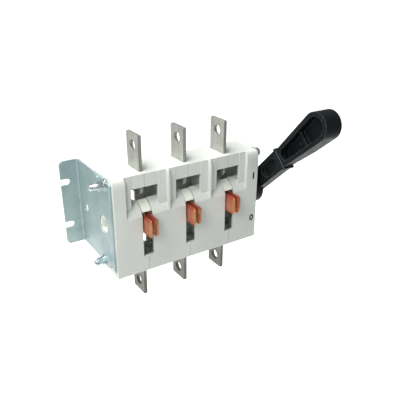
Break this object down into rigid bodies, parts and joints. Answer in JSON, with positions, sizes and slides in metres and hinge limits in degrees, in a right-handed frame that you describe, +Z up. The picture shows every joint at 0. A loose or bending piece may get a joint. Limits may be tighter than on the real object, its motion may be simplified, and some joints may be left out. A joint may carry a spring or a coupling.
{
  "type": "knife blade switch",
  "caption": "Multi-pole rotary knife blade switch with copper double-break blades, flat bar terminals, steel side brackets and a black side lever.",
  "frame": {"origin": "middle of the four mounting slots, on the plane of the panel behind the bracket feet", "axes": "+X towards the side with the lever, -Y out of the front, +Z up, +Y into the panel"},
  "size_m": [0.1818, 0.1392, 0.1607],
  "materials": {
    "housing_plastic": "satin",
    "zinc_sheet": "satin",
    "tinned_copper": "satin",
    "zinc_fastener": "satin",
    "dark_spring_steel": "satin",
    "shaft_steel": "satin",
    "drum_plastic": "satin",
    "blade_copper": "satin",
    "handle_plastic": "gloss"
  },
  "bodies": {
    "housing": {"left_end_housing": "housing_plastic", "mid_housing_1": "housing_plastic", "mid_housing_2": "housing_plastic", "right_end_housing": "housing_plastic", "left_bracket": "zinc_sheet", "right_bracket": "zinc_sheet", "upper_terminal_1": "tinned_copper", "upper_terminal_2": "tinned_copper", "upper_terminal_3": "tinned_copper", "lower_terminal_1": "tinned_copper", "lower_terminal_2": "tinned_copper", "lower_terminal_3": "tinned_copper", "bracket_studs": "zinc_fastener", "bracket_nuts": "zinc_fastener", "bracket_washers": "zinc_fastener", "bracket_spring_washers": "dark_spring_steel", "tie_rods": "zinc_fastener", "tie_rod_nuts": "zinc_fastener"},
    "drum": {"drive_shaft": "shaft_steel", "shaft_pin": "zinc_fastener", "drum_core_1": "drum_plastic", "drum_core_2": "drum_plastic", "drum_core_3": "drum_plastic", "left_blade_1": "blade_copper", "left_blade_2": "blade_copper", "left_blade_3": "blade_copper", "right_blade_1": "blade_copper", "right_blade_2": "blade_copper", "right_blade_3": "blade_copper", "contact_springs_1": "dark_spring_steel", "contact_springs_2": "dark_spring_steel", "contact_springs_3": "dark_spring_steel", "handle": "handle_plastic", "handle_washer": "zinc_fastener", "handle_screw": "zinc_fastener"}
  },
  "joints": [
    {"name": "lever_turn", "type": "hinge", "parent": "housing", "child": "drum", "pos_m": [0, -0.051, -0.0019], "axis": [1, 0, 0], "range_deg": [0, 90]}
  ]
}
